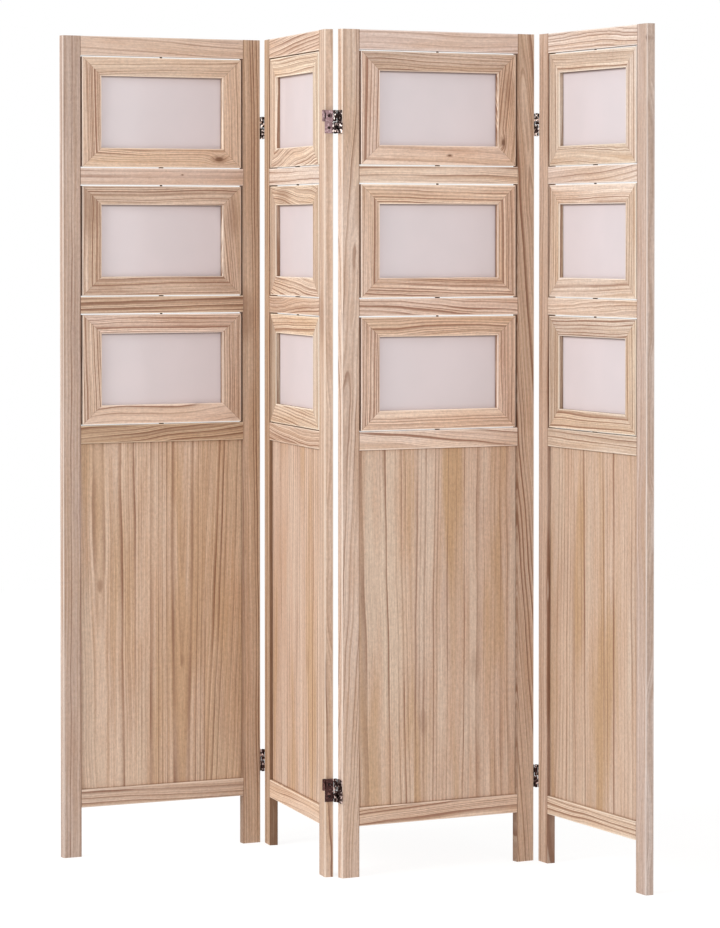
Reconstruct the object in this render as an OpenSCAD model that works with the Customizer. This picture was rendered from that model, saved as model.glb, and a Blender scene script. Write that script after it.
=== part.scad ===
// Four-panel folding room divider with three swivelling photo frames in each panel.
// Each panel is two stiles tied by five rails, with a thin board let into grooves below
// the frames. Double-action hinges, each with two leaves and two crossed straps, join
// the panels. +Z is up, and the screen stands on the plane z = 0 with its fronts to -Y.

/* [Panel] */
// Height of the screen
screen_h = 1700; // [1500:10:1900]
// Width of one panel
panel_w = 450; // [400:5:540]
// Thickness of the stiles and rails
wood_t = 18; // [16:0.5:24]
// Rounding of the long edges
edge_r = 1.5; // [0.5:0.25:3]

/* [Stiles and rails] */
// Face width of a stile
stile_w = 40; // [36:1:56]
// Face height of the top rail
top_rail_h = 40; // [36:1:60]
// Face height of the two rails between the photo frames
mid_rail_h = 35; // [30:1:50]
// Face height of the rails above and below the board
board_rail_h = 37; // [32:1:60]
// Clear height under the bottom rail
leg_h = 102; // [60:2:130]
// Length of a rail's tenon
tenon_len = 20; // [12:1:22]
// Thickness of a tenon
tenon_t = 6; // [4:0.5:8]
// Clearance round a tenon in its mortise
glue_gap = 0.1; // [0.05:0.05:0.3]
// Room left at the end of a tenon
tenon_end_gap = 0.3; // [0.1:0.1:1]

/* [Board] */
// Thickness of the board
board_t = 5; // [3:0.5:8]
// Depth of the groove that holds the board
groove_d = 7; // [4:0.5:9]
// Clearance on each face of the board in its groove
board_gap = 0.15; // [0.05:0.05:0.4]
// Room for the board to swell in its grooves, at each side and at the top
board_play = 0.3; // [0.2:0.1:2]
// Wood between a groove's floor and the tenon beside it
groove_wall = 1; // [0.5:0.5:3]

/* [Photo frames] */
// Height of a photo frame
frame_h = 227.5; // [200:0.5:236]
// Gap at each side of a photo frame
swing_gap = 4; // [3:0.25:6]
// Gap above a photo frame
head_gap = 2.5; // [1.5:0.25:5]
// Gap below a photo frame, where its pin has a collar
foot_gap = 2; // [1:0.25:4]
// Face height of a frame's top and bottom members
member_h = 39.5; // [30:0.5:46]
// Face width of a frame's side members
member_w = 43; // [30:0.5:50]
// How far a frame's face lies behind the panel's face
frame_inset = 0.5; // [0.25:0.25:2]
// Depth of the groove that holds the panes
glaze_d = 6; // [4:0.5:8]
// How deep the panes lie behind the frame's face
pane_depth = 9.5; // [4:0.25:10]
// Thickness of a clear pane
pane_t = 1.5; // [1:0.25:2]
// Thickness of the card between the panes
card_t = 1; // [0.5:0.25:2]
// Clearance on each face of the panes in their groove
glaze_gap = 0.15; // [0.05:0.05:0.4]
// Room at the sides and top of the panes in their groove
glaze_play = 0.3; // [0.2:0.1:2]
// Gap between a pane and the card
sheet_gap = 0.05; // [0.02:0.01:0.1]
// Glue line in a mitre
mitre_gap = 0.1; // [0.05:0.05:0.3]

/* [Pivots] */
// Radius of a frame's pivot pin
pivot_r = 2.5; // [1.5:0.25:3.5]
// Depth of a pin's hole in the rail and in the frame
pivot_seat = 12; // [8:0.5:14]
// Room at each end of a pin
pivot_end_gap = 0.3; // [0.2:0.1:1]
// Radius of the collar that carries the frame on its lower pin
collar_r = 5; // [4:0.5:7]
// Room between the collar and the frame
collar_gap = 0.2; // [0.1:0.05:0.4]
// Radial clearance of a pin in the frame
run_gap = 0.05; // [0.02:0.01:0.1]
// Radial clearance of a pin or screw that is driven tight
tight_gap = 0.02; // [0.01:0.01:0.03]

/* [Hinges] */
// Height of a hinge
hinge_h = 46; // [40:1:60]
// Distance from the top of the screen to the middle of the upper hinges
hinge_drop = 185; // [120:5:300]
// Distance from the floor to the middle of the lower hinges
hinge_rise = 175; // [90:5:300]
// Thickness of a hinge leaf
leaf_t = 1.5; // [1:0.25:2]
// Thickness of a hinge strap
strap_t = 2; // [1.5:0.25:2.5]
// Distance of a hinge axis from the edge of the panel
axis_out = 4; // [3.75:0.25:5]
// Distance of a hinge axis outside the face of the panel
axis_proud = 3; // [2.75:0.25:4]
// Outer radius of a knuckle
knuckle_r = 3.2; // [2.6:0.1:3.4]
// Height of a leaf's knuckle
leaf_knuckle_h = 10; // [8:0.5:12]
// Gap between knuckles, and between them and what turns past
knuckle_gap = 0.3; // [0.2:0.05:0.5]
// Gap between the upper and lower strap
strap_space = 2; // [1.8:0.2:4]
// Radius of a hinge pin
hinge_pin_r = 1.5; // [1:0.1:1.8]
// Radius of a hinge pin's head
pin_head_r = 2.5; // [2:0.1:2.6]
// Height of a hinge pin's head
pin_head_h = 0.6; // [0.4:0.1:0.7]
// Radius of the hole in a strap that lets a screwdriver through
access_r = 5; // [4:0.25:6]

/* [Screws] */
// Radius of a screw's shank
screw_r = 1.6; // [1.2:0.1:2]
// Radius of a screw's head
screw_head_r = 3.2; // [2.8:0.1:3.6]
// Length of a screw
screw_len = 14; // [10:1:15]
// Depth of the cross in a screw's head
cross_d = 0.8; // [0.4:0.1:1]
// Width of the cross's arms
cross_w = 0.7; // [0.4:0.1:1]

/* [Fold] */
// Turn of the first panel from the line of the screen
yaw_1 = 27; // [10:1:60]
// Turn of the second panel
yaw_2 = -73; // [-80:1:-20]
// Turn of the third panel
yaw_3 = 29; // [10:1:60]
// Turn of the fourth panel
yaw_4 = -65; // [-80:1:-20]

/* [Hidden] */
$fn = 48;
eps = 0.01;
PANELS = [0, 1, 2, 3];
ROWS = [0, 1, 2];
ROW_NAMES = ["top", "middle", "low"];
yaws = [yaw_1, yaw_2, yaw_3, yaw_4];
PIECES = ["left_stile", "right_stile", "rails", "board", "pivots",
          "hinge_leaves", "hinge_straps", "hinge_pins", "hinge_screws"];

// A panel's inner width, and the heights of what is stacked in it
inner_w = panel_w - 2 * stile_w;
frame_w = inner_w - 2 * swing_gap;
frame_t = wood_t - 2 * frame_inset;
top_rail_z = screen_h - top_rail_h;
row_pitch = head_gap + frame_h + foot_gap + mid_rail_h;
function frame_z(r) = top_rail_z - head_gap - frame_h - r * row_pitch;
upper_mid_z = frame_z(0) - foot_gap - mid_rail_h;
lower_mid_z = frame_z(1) - foot_gap - mid_rail_h;
board_rail_z = frame_z(2) - foot_gap - board_rail_h;
bottom_rail_z = leg_h;
// Each rail's height above the floor and its own height
rails_at = [
    [top_rail_z, top_rail_h],
    [upper_mid_z, mid_rail_h],
    [lower_mid_z, mid_rail_h],
    [board_rail_z, board_rail_h],
    [bottom_rail_z, board_rail_h]
];
board_low = bottom_rail_z + board_rail_h;
board_high = board_rail_z;
// Shoulder above and below a tenon, clear of the board's groove
tenon_shoulder = groove_d + groove_wall;
glazing_t = 2 * (pane_t + sheet_gap) + card_t;
// Wood behind the panes
pane_back = frame_t - pane_depth - glazing_t;

// Hinge heights: two straps above each other, each with knuckles in three lengths
strap_h = (hinge_h - strap_space) / 2;
strap_knuckle_h = (strap_h - leaf_knuckle_h) / 2 - knuckle_gap;
strap_mid = (strap_space + strap_h) / 2;
hinge_mids = [screen_h - hinge_drop, hinge_rise];
notch_reach = knuckle_r + 4 * knuckle_gap;

// Panel p's left front corner. The second and third panels meet at a back axis, and
// the outer panels join them at front axes.
function turned(yaw, u, v) = [u * cos(yaw) - v * sin(yaw), u * sin(yaw) + v * cos(yaw)];
back_axis_v = wood_t + axis_proud;
corner_2 = -turned(yaw_2, panel_w + axis_out, back_axis_v);
corner_3 = -turned(yaw_3, -axis_out, back_axis_v);
fold_12 = corner_2 + turned(yaw_2, -axis_out, -axis_proud);
fold_34 = corner_3 + turned(yaw_3, panel_w + axis_out, -axis_proud);
corner_1 = fold_12 - turned(yaw_1, panel_w + axis_out, -axis_proud);
corner_4 = fold_34 - turned(yaw_4, -axis_out, -axis_proud);
corners = [corner_1, corner_2, corner_3, corner_4];

// The plan's outline is reached by the panels' rounded corners and by the knuckles
corner_spots = [for (p = PANELS) for (u = [edge_r, panel_w - edge_r])
    for (v = [edge_r, wood_t - edge_r]) corners[p] + turned(yaws[p], u, v)];
knuckle_spots = [
    for (v = [-axis_proud, back_axis_v]) for (p = PANELS)
        for (u = [if (p > 0) -axis_out, if (p < 3) panel_w + axis_out])
            corners[p] + turned(yaws[p], u, v)
];
function low(axis) = min(min([for (c = corner_spots) c[axis] - edge_r]),
                         min([for (c = knuckle_spots) c[axis] - knuckle_r]));
function high(axis) = max(max([for (c = corner_spots) c[axis] + edge_r]),
                          max([for (c = knuckle_spots) c[axis] + knuckle_r]));
centre = [(low(0) + high(0)) / 2, (low(1) + high(1)) / 2];

// Stands a panel's pieces in their place: x along the panel, y from its front to its back
module at_panel(p) {
    translate(corners[p] - centre)
        rotate([0, 0, yaws[p]])
            children();
}

// A rectangle with rounded corners
module eased(w, t) {
    translate([edge_r, 0]) square([w - 2 * edge_r, t]);
    translate([0, edge_r]) square([w, t - 2 * edge_r]);
    for (x = [edge_r, w - edge_r])
        for (y = [edge_r, t - edge_r])
            translate([x, y]) circle(edge_r);
}

// Turns a profile that was extruded upward so that it runs along +X, its x now +Y
module along_x(len) {
    rotate([90, 0, 90]) linear_extrude(len) children();
}

// A stile with its outer edge at x = 0, mortised for the rails and grooved for the board
module stile(drilled) {
    mortise_x = stile_w - tenon_len - tenon_end_gap;
    difference() {
        linear_extrude(screen_h) eased(stile_w, wood_t);
        for (rail = rails_at)
            translate([mortise_x, (wood_t - tenon_t) / 2 - glue_gap, rail[0] + tenon_shoulder - glue_gap])
                cube([stile_w, tenon_t + 2 * glue_gap, rail[1] - 2 * tenon_shoulder + 2 * glue_gap]);
        translate([stile_w - groove_d, (wood_t - board_t) / 2 - board_gap, board_low - groove_d])
            cube([stile_w, board_t + 2 * board_gap, board_high - board_low + 2 * groove_d]);
        if (drilled) screw_places() screw_hole();
    }
}

module left_stile(p) {
    color("tan") stile(p > 0);
}

module right_stile(p) {
    color("tan") translate([panel_w, 0, 0]) mirror([1, 0, 0]) stile(p < 3);
}

// One rail with its two tenons, shoulder to shoulder from x = 0
module rail(h, pin_above, pin_below, groove_above, groove_below) {
    groove_t = board_t + 2 * board_gap;
    difference() {
        union() {
            along_x(inner_w) rotate([0, 0, 90]) mirror([0, 1]) eased(h, wood_t);
            translate([-tenon_len, (wood_t - tenon_t) / 2, tenon_shoulder])
                cube([inner_w + 2 * tenon_len, tenon_t, h - 2 * tenon_shoulder]);
        }
        if (pin_above) translate([inner_w / 2, wood_t / 2, h - pivot_seat])
            cylinder(h = pivot_seat + eps, r = pivot_r + tight_gap);
        if (pin_below) translate([inner_w / 2, wood_t / 2, -eps])
            cylinder(h = pivot_seat + eps, r = pivot_r + tight_gap);
        if (groove_above) translate([-eps, (wood_t - groove_t) / 2, h - groove_d])
            cube([inner_w + 2 * eps, groove_t, groove_d + eps]);
        if (groove_below) translate([-eps, (wood_t - groove_t) / 2, -eps])
            cube([inner_w + 2 * eps, groove_t, groove_d + eps]);
    }
}

// The five rails of a panel, from the top down
module rails() {
    last = len(rails_at) - 1;
    color("burlywood")
        for (i = [0:last])
            translate([stile_w, 0, rails_at[i][0]])
                rail(rails_at[i][1], i > 0 && i < last, i < last - 1, i == last, i == last - 1);
}

// The board stands on its groove in the bottom rail
module board() {
    tongue = groove_d - board_play;
    color("wheat")
        translate([stile_w - tongue, (wood_t - board_t) / 2, board_low - groove_d])
            cube([inner_w + 2 * tongue, board_t, board_high - board_low + groove_d + tongue]);
}

// Lower pins have a collar that carries the frame; upper pins are plain
module pivots() {
    seats = 2 * (pivot_seat - pivot_end_gap);
    color("dimgray")
        for (r = ROWS) {
            below = frame_z(r) - foot_gap;
            above = frame_z(r) + frame_h;
            translate([panel_w / 2, wood_t / 2, below - pivot_seat + pivot_end_gap])
                cylinder(h = seats + foot_gap, r = pivot_r);
            translate([panel_w / 2, wood_t / 2, below])
                cylinder(h = foot_gap - collar_gap, r = collar_r);
            translate([panel_w / 2, wood_t / 2, above - pivot_seat + pivot_end_gap])
                cylinder(h = seats + head_gap, r = pivot_r);
        }
}

// A member w wide along +X with its outer edge on the x axis, mitred to members next_w wide
module member(len, w, next_w, bored) {
    groove_t = glazing_t + 2 * glaze_gap;
    cut = mitre_gap / sqrt(2);
    difference() {
        intersection() {
            along_x(len) eased(w, frame_t);
            linear_extrude(frame_t)
                polygon([[cut, 0], [len - cut, 0], [len - cut - next_w, w], [cut + next_w, w]]);
        }
        translate([0, w - glaze_d, pane_back - glaze_gap])
            cube([len, w, groove_t]);
        if (bored) translate([len / 2, pivot_seat, frame_t / 2])
            rotate([90, 0, 0]) cylinder(h = pivot_seat + eps, r = pivot_r + run_gap);
    }
}

// Stands a flat drawing of a frame upright in row r of its panel
module in_row(r) {
    translate([stile_w + swing_gap, frame_inset + frame_t, frame_z(r)])
        rotate([90, 0, 0]) children();
}

// The four mitred members of one photo frame
module frame_members(r) {
    color("tan")
        in_row(r) {
            member(frame_w, member_h, member_w, true);
            translate([frame_w, frame_h]) rotate([0, 0, 180]) member(frame_w, member_h, member_w, true);
            translate([0, frame_h]) rotate([0, 0, -90]) member(frame_h, member_w, member_h, false);
            translate([frame_w, 0]) rotate([0, 0, 90]) member(frame_h, member_w, member_h, false);
        }
}

// Two clear panes with a plain card between them, standing in the lower member's groove
module frame_glazing(r) {
    sheet_x = member_w - glaze_d + glaze_play;
    sheet_y = member_h - glaze_d;
    sheet_w = frame_w - 2 * sheet_x;
    sheet_h = frame_h - 2 * sheet_y - glaze_play;
    in_row(r) {
        for (z = [pane_back, pane_back + glazing_t - pane_t])
            color("lavender") translate([sheet_x, sheet_y, z]) cube([sheet_w, sheet_h, pane_t]);
        color("gainsboro") translate([sheet_x, sheet_y, pane_back + pane_t + sheet_gap])
            cube([sheet_w, sheet_h, card_t]);
    }
}

// Repeats hinge parts at both hinges of the edge at x = 0, whose outside is at -x
module hinge_places() {
    for (z = hinge_mids) translate([0, 0, z]) children();
}

// The places of the screws in that edge, with the head at z = 0 and the tip at +z
module screw_places() {
    hinge_places()
        for (side = [-1, 1])
            translate([-leaf_t, wood_t / 2, side * strap_mid])
                rotate([0, 90, 0]) children();
}

// A countersunk screw's body, larger all round by grow
module screw_body(grow) {
    cylinder(h = leaf_t, r1 = screw_head_r + grow, r2 = screw_r + grow);
    cylinder(h = screw_len - screw_r, r = screw_r + grow);
    translate([0, 0, screw_len - screw_r])
        cylinder(h = screw_r + grow, r1 = screw_r + grow, r2 = grow / 2 + eps);
}

module screw_hole() {
    screw_body(tight_gap);
}

module screw() {
    difference() {
        screw_body(0);
        for (turn = [0, 90])
            rotate([0, 0, turn]) translate([-screw_head_r / 2, -cross_w / 2, -eps])
                cube([screw_head_r, cross_w, cross_d + eps]);
    }
}

// A leaf's or strap's knuckle on the front or back axis, from height z up
module knuckle(front, z, h) {
    translate([-axis_out, front ? -axis_proud : back_axis_v, z]) cylinder(h = h, r = knuckle_r);
}

// The bored hole for a pin on the front or back axis, from height z up
module pin_bore(front, z, h, gap) {
    translate([-axis_out, front ? -axis_proud : back_axis_v, z]) cylinder(h = h, r = hinge_pin_r + gap);
}

// The web that curls from the leaf's end to its front knuckle
module leaf_web() {
    web_in = leaf_t;
    polygon([
        [0, 0], [0, web_in], [-leaf_t, web_in],
        [-axis_out + hinge_pin_r, -axis_proud + knuckle_r - knuckle_gap],
        [-axis_out, -axis_proud],
        [-axis_out + knuckle_r - knuckle_gap, -axis_proud]
    ]);
}

// A leaf on the edge at x = 0. Its upper knuckle is at the front or at the back, and its
// lower knuckle is on the other side.
module leaf(upper_front) {
    low_z = -leaf_knuckle_h / 2;
    difference() {
        union() {
            translate([-leaf_t, 0, -hinge_h / 2]) cube([leaf_t, wood_t, hinge_h]);
            for (side = [-1, 1]) {
                front = upper_front == (side > 0);
                translate([0, 0, side * strap_mid]) {
                    knuckle(front, low_z, leaf_knuckle_h);
                    translate([0, front ? 0 : wood_t, low_z])
                        mirror([0, front ? 0 : 1, 0])
                            linear_extrude(leaf_knuckle_h) leaf_web();
                }
            }
        }
        for (side = [-1, 1])
            translate([0, 0, side * strap_mid])
                pin_bore(upper_front == (side > 0), low_z - eps, leaf_knuckle_h + 2 * eps, run_gap);
        for (side = [-1, 1])
            translate([-leaf_t, wood_t / 2, side * strap_mid])
                rotate([0, 90, 0]) screw_hole();
    }
}

// A strap from axis to axis, with two knuckles on each and a gap between them for the
// leaf's knuckle
module strap() {
    reach = back_axis_v + axis_proud;
    gap_h = leaf_knuckle_h + 2 * knuckle_gap;
    difference() {
        union() {
            translate([-axis_out - strap_t / 2, -axis_proud, -strap_h / 2]) cube([strap_t, reach, strap_h]);
            for (front = [true, false])
                for (z = [-strap_h / 2, strap_h / 2 - strap_knuckle_h])
                    knuckle(front, z, strap_knuckle_h);
        }
        for (front = [true, false]) {
            notch_y = (front ? -axis_proud : back_axis_v) - notch_reach;
            pin_bore(front, -strap_h / 2 - eps, strap_h + 2 * eps, tight_gap);
            translate([-axis_out - knuckle_r - eps, notch_y, -gap_h / 2])
                cube([2 * (knuckle_r + eps), 2 * notch_reach, gap_h]);
        }
        translate([-axis_out - strap_t, wood_t / 2, 0])
            rotate([0, 90, 0]) cylinder(h = 2 * strap_t, r = access_r);
    }
}

// The pins of a strap, headed at both ends
module strap_pins() {
    for (y = [-axis_proud, back_axis_v])
        translate([-axis_out, y, -strap_h / 2]) {
            cylinder(h = strap_h, r = hinge_pin_r);
            translate([0, 0, -pin_head_h]) cylinder(h = pin_head_h, r = pin_head_r);
            translate([0, 0, strap_h]) cylinder(h = pin_head_h, r = pin_head_r);
        }
}

// Draws hinge parts on the hinged edges of panel p: the left edge as drawn, and the
// right edge mirrored
module hinged_edges(p) {
    if (p > 0) children();
    if (p < 3) translate([panel_w, 0, 0]) mirror([1, 0, 0]) children();
}

// A panel carries the strap that doesn't turn against it. At a front fold that is the
// lower strap on the panel to its left and the upper one on its right, and at the back
// fold the other way round.
function strap_side(p, right_edge) =
    let (back_fold = right_edge ? p == 1 : p == 2)
        (back_fold == right_edge) ? 1 : -1;

module hinge_leaves(p) {
    color("darkolivegreen") {
        if (p > 0) hinge_places() leaf(false);
        if (p < 3) translate([panel_w, 0, 0]) mirror([1, 0, 0]) hinge_places() leaf(true);
    }
}

// Places strap parts on panel p's edges, at the height of the strap that it carries
module carried_straps(p) {
    if (p > 0) hinge_places() translate([0, 0, strap_side(p, false) * strap_mid]) children();
    if (p < 3) translate([panel_w, 0, 0]) mirror([1, 0, 0])
        hinge_places() translate([0, 0, strap_side(p, true) * strap_mid]) children();
}

module hinge_straps(p) {
    color("darkkhaki") carried_straps(p) strap();
}

module hinge_pins(p) {
    color("gray") carried_straps(p) strap_pins();
}

module hinge_screws(p) {
    color("dimgray") hinged_edges(p) screw_places() screw();
}

for (p = PANELS) {
    panel = str("panel_", p + 1, "_");
    at_panel(p) left_stile(p);
    at_panel(p) right_stile(p);
    at_panel(p) rails();
    at_panel(p) board();
    at_panel(p) pivots();
    at_panel(p) hinge_leaves(p);
    at_panel(p) hinge_straps(p);
    at_panel(p) hinge_pins(p);
    at_panel(p) hinge_screws(p);
}
for (p = PANELS) for (r = ROWS) {
    frame = str("frame_", p + 1, "_", ROW_NAMES[r], "_");
    at_panel(p) frame_members(r);
    at_panel(p) frame_glazing(r);
}
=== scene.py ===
"""Looks of a four-panel folding screen with three swivelling photo frames in each panel.

Each wooden member has a procedural figure: growth rings of a log that lies beside or
under the member, cut by its faces. Nodes that hold several members choose each one's
log by place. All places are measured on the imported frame, in metres.

A ramp is four numbers, two limits of a value and what it becomes at each. With two
numbers it goes from 0 to 1.
"""

import math
import random
from dataclasses import dataclass, replace
from typing import NamedTuple

import bpy
import numpy as np
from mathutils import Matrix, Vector


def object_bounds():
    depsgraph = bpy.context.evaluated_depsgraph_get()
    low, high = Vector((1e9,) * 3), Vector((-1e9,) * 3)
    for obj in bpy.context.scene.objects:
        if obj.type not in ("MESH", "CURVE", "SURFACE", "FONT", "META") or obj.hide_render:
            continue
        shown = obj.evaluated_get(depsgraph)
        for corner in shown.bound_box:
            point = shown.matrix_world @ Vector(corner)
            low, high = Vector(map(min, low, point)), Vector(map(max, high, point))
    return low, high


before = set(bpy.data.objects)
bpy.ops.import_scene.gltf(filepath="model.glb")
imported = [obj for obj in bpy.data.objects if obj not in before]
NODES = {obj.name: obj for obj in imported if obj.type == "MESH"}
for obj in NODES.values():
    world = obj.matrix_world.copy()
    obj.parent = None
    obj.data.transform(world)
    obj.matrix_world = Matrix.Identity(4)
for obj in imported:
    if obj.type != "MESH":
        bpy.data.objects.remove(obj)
cad_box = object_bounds()

PANELS = (1, 2, 3, 4)
SIDES = ("left", "right")
ROWS = ("top", "middle", "low")
MEMBER_PARTS = ("top", "bottom", "left", "right")
RAIL_COUNT = 5
# More than a rail's height, and less than the space between two rails
RAIL_APART = 0.1


# ---------------------------------------------------------------- places on the frame

def points(node):
    """The vertices of a CAD node as an array."""
    mesh = NODES[node].data
    flat = np.empty(len(mesh.vertices) * 3, np.float32)
    mesh.vertices.foreach_get("co", flat)
    return flat.reshape(-1, 3).astype(float)


class Panel:
    """A panel's own axes: u along it from its left edge, v from front to back, z up."""

    def __init__(self, number):
        self.number = number
        plan = points(f"panel_{number}_board")[:, :2]
        along = np.linalg.svd(plan - plan.mean(0))[2][0]
        along = along if along[0] > 0 else -along
        self.yaw = math.atan2(along[1], along[0])
        self.axes = np.array([along, (-along[1], along[0])])
        stiles = np.vstack([points(f"panel_{number}_{side}_stile")[:, :2] for side in SIDES])
        low = (stiles @ self.axes.T).min(0)
        self.corner = low @ self.axes
        self.stile_w = self.extent(f"panel_{number}_left_stile")[0][1]
        self.width = self.extent(f"panel_{number}_right_stile")[0][1]
        self.face_v, self.back_v = self.extent(f"panel_{number}_left_stile")[1]
        self.rails = self.rail_spans()

    def local(self, node):
        """A node's vertices in the panel's axes."""
        co = points(node)
        return np.column_stack([(co[:, :2] - self.corner) @ self.axes.T, co[:, 2]])

    def extent(self, node):
        """Lowest and highest u, v and z of a node."""
        co = self.local(node)
        return list(zip(co.min(0), co.max(0)))

    def rail_spans(self):
        """Bottom and top of each rail, from the floor up."""
        z = np.unique(self.local(f"panel_{self.number}_rails")[:, 2].round(4))
        gaps = [i for i in range(1, len(z)) if z[i] - z[i - 1] > RAIL_APART]
        starts = [0, *gaps, len(z)]
        return [(z[a], z[b - 1]) for a, b in zip(starts, starts[1:])]


def inner_reach(values):
    """How far the low member of a frame reaches in, from the vertices of its outer quarter."""
    low, high = values.min(), values.max()
    return values[values < low + (high - low) / 4].max() - low


# ---------------------------------------------------------------- node graphs

def srgb(red, green, blue):
    """A colour written as 0 to 255 on screen, as the linear colour that nodes take."""
    def linear(value):
        value /= 255
        return value / 12.92 if value <= 0.04045 else ((value + 0.055) / 1.055) ** 2.4
    return (linear(red), linear(green), linear(blue), 1.0)


class Noise(NamedTuple):
    """Features per metre along, across and into a member, octaves, and how rough it is."""
    scale: tuple
    detail: float = 1.0
    roughness: float = 0.5


class Graph:
    """Short calls that add nodes to a tree. A value is a number, a tuple or a socket."""

    def __init__(self, tree):
        self.tree = tree

    def put(self, socket, value):
        if isinstance(value, bpy.types.NodeSocket):
            self.tree.links.new(value, socket)
        else:
            socket.default_value = value

    def node(self, kind, inputs=None, **props):
        made = self.tree.nodes.new(kind)
        for name, value in props.items():
            setattr(made, name, value)
        for name, value in (inputs or {}).items():
            self.put(made.inputs[name], value)
        return made

    def math(self, operation, a, b=None, c=None, clamp=False):
        values = {i: v for i, v in enumerate((a, b, c)) if v is not None}
        return self.node("ShaderNodeMath", values, operation=operation, use_clamp=clamp).outputs[0]

    def split(self, vector):
        return self.node("ShaderNodeSeparateXYZ", {0: vector}).outputs

    def join(self, x, y, z):
        return self.node("ShaderNodeCombineXYZ", {0: x, 1: y, 2: z}).outputs[0]

    def smooth(self, value, low, high, at_low=0.0, at_high=1.0):
        """A smooth step from at_low to at_high as value goes from low to high."""
        inputs = {"Value": value, "From Min": low, "From Max": high,
                  "To Min": at_low, "To Max": at_high}
        return self.node("ShaderNodeMapRange", inputs, interpolation_type="SMOOTHSTEP").outputs[0]

    def mix(self, factor, a, b):
        """A number between a and b."""
        return self.node("ShaderNodeMix", {0: factor, 2: a, 3: b}).outputs[0]

    def mix_vector(self, factor, a, b):
        made = self.node("ShaderNodeMix", data_type="VECTOR", clamp_factor=True)
        for index, value in ((0, factor), (4, a), (5, b)):
            self.put(made.inputs[index], value)
        return made.outputs[1]

    def mix_color(self, factor, a, b, blend="MIX"):
        made = self.node("ShaderNodeMix", data_type="RGBA", blend_type=blend, clamp_factor=True)
        for index, value in ((0, factor), (6, a), (7, b)):
            self.put(made.inputs[index], value)
        return made.outputs[2]

    def noise(self, vector, scale, detail=2.0, roughness=0.5):
        inputs = {"Vector": vector, "Scale": scale, "Detail": detail, "Roughness": roughness}
        return self.node("ShaderNodeTexNoise", inputs).outputs[0]

    def field(self, place, noise):
        """A Noise at a place in a member."""
        made = self.node("ShaderNodeVectorMath", {0: place, 1: noise.scale}, operation="MULTIPLY")
        return self.noise(made.outputs[0], 1.0, noise.detail, noise.roughness)

    def swing(self, noise, width):
        """A noise from 0 to 1 as a value that swings round 0, this wide in all."""
        return self.math("MULTIPLY_ADD", noise, width, -width / 2)


def new_material(name):
    material = bpy.data.materials.new(name)
    material.use_nodes = True
    material.node_tree.nodes.clear()
    return material, Graph(material.node_tree)


def object_place(g):
    """The shaded point in metres."""
    return g.node("ShaderNodeTexCoord").outputs["Object"]


def panel_place(g, panel):
    """The shaded point in a panel's own axes."""
    inputs = {"Vector": object_place(g), "Location": (*panel.corner, 0.0), "Rotation": (0.0, 0.0, panel.yaw)}
    return g.split(g.node("ShaderNodeMapping", inputs, vector_type="TEXTURE").outputs[0])


def nearest(g, value, low, high):
    """How far a value is from the nearer of two limits."""
    return g.math("MINIMUM", g.math("SUBTRACT", value, low), g.math("SUBTRACT", high, value))


# ---------------------------------------------------------------- how wood is drawn

PALE, TAN = srgb(233, 210, 191), srgb(206, 176, 153)
WARM, ASH = srgb(209, 169, 137), srgb(192, 169, 158)
LINE, BROWN = srgb(136, 95, 72), srgb(132, 92, 68)
GOLD, MILK = srgb(205, 171, 135), srgb(226, 205, 186)
# The second colour darkens dark joints and paints shade into recesses
CORE, CREASE_AND_SHADE = srgb(104, 70, 50), srgb(112, 76, 52)
# The pale colour of rubbed eased edges, with their painted highlight
RUBBED_AND_HIGHLIGHT = srgb(248, 233, 217)

# Long slow waves and short ripples bend the rings, by so many rings in all
SLOW, SLOW_RINGS = Noise((3.0, 8.0, 8.0)), 3.4
RIPPLE, RIPPLE_RINGS = Noise((12.0, 26.0, 26.0), 2.0), 0.6
# Metres along the member from one seed's noise to the next one's
SEED_STEP = 3.1

# Some rings are wider than others: how often that changes per ring, and by how many rings
UNEVEN_PER_RING, UNEVEN_RINGS = 0.62, 1.9
# The grain swells round a knot, by how many of its radii and how quickly that ends
KNOT_SWELL, KNOT_FALL = 1.3, -0.45
# How much longer than wide spots are
KNOT_STRETCH, STAIN_STRETCH = 2.0, 2.6

# A ring's darkness over its own width, and how dark the faintest ring is
LATE_RISE, LATE_CURVE = (0.30, 0.92), 2.4
LATE_END = (0.93, 1.0, 1.0, 0.0)
LATE_LEAST = 0.2
# Finer lines between two rings
FINE_PER_RING = 3.0
FINE_RISE, FINE_END = (0.3, 0.85), (0.88, 1.0, 0.38, 0.0)
# The rings fade and return along the member
FADE, FADE_RAMP = Noise((4.0, 34.0, 34.0)), (0.3, 0.7, 0.6, 1.25)
# How much a dark ring covers the wood's colour, and the most that it may
LINE_COVER, LINE_MOST = 1.5, 0.88

# Streaks follow the rings, so many across one ring and so many per metre along the member
STREAKS_PER_RING, STREAKS_ALONG = 3.0, 2.4
STREAK_DETAIL, STREAK_ROUGHNESS = 3.0, 0.65
STREAK_RAMP = (0.32, 0.68, -0.5, 0.5)
# Warm and ashen clouds
CLOUD = Noise((3.6, 20.0, 20.0), 3.0, 0.6)
CLOUD_WARM, CLOUD_ASH = (0.45, 0.75, 0.0, 0.45), (0.25, 0.45, 0.35, 0.0)
# Broad golden and milky bands
WIDE = Noise((1.5, 15.0, 15.0), 2.0)
WIDE_GOLD, WIDE_MILK = (0.48, 0.66), (0.34, 0.48, 1.0, 0.0)
# Fibres run along the member, and pores are short dark dashes among them
FIBRE, FIBRE_DARK = Noise((24.0, 800.0, 800.0), 3.0, 0.65), (0.35, 0.8, 0.0, 0.30)
PORES, PORE_RAMP = Noise((75.0, 1300.0, 1300.0)), (0.58, 0.74)
PORE_DARK, PORE_DEPTH = 0.30, -0.5
MOTTLE = Noise((120.0, 160.0, 160.0), 3.0, 0.75)

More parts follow.
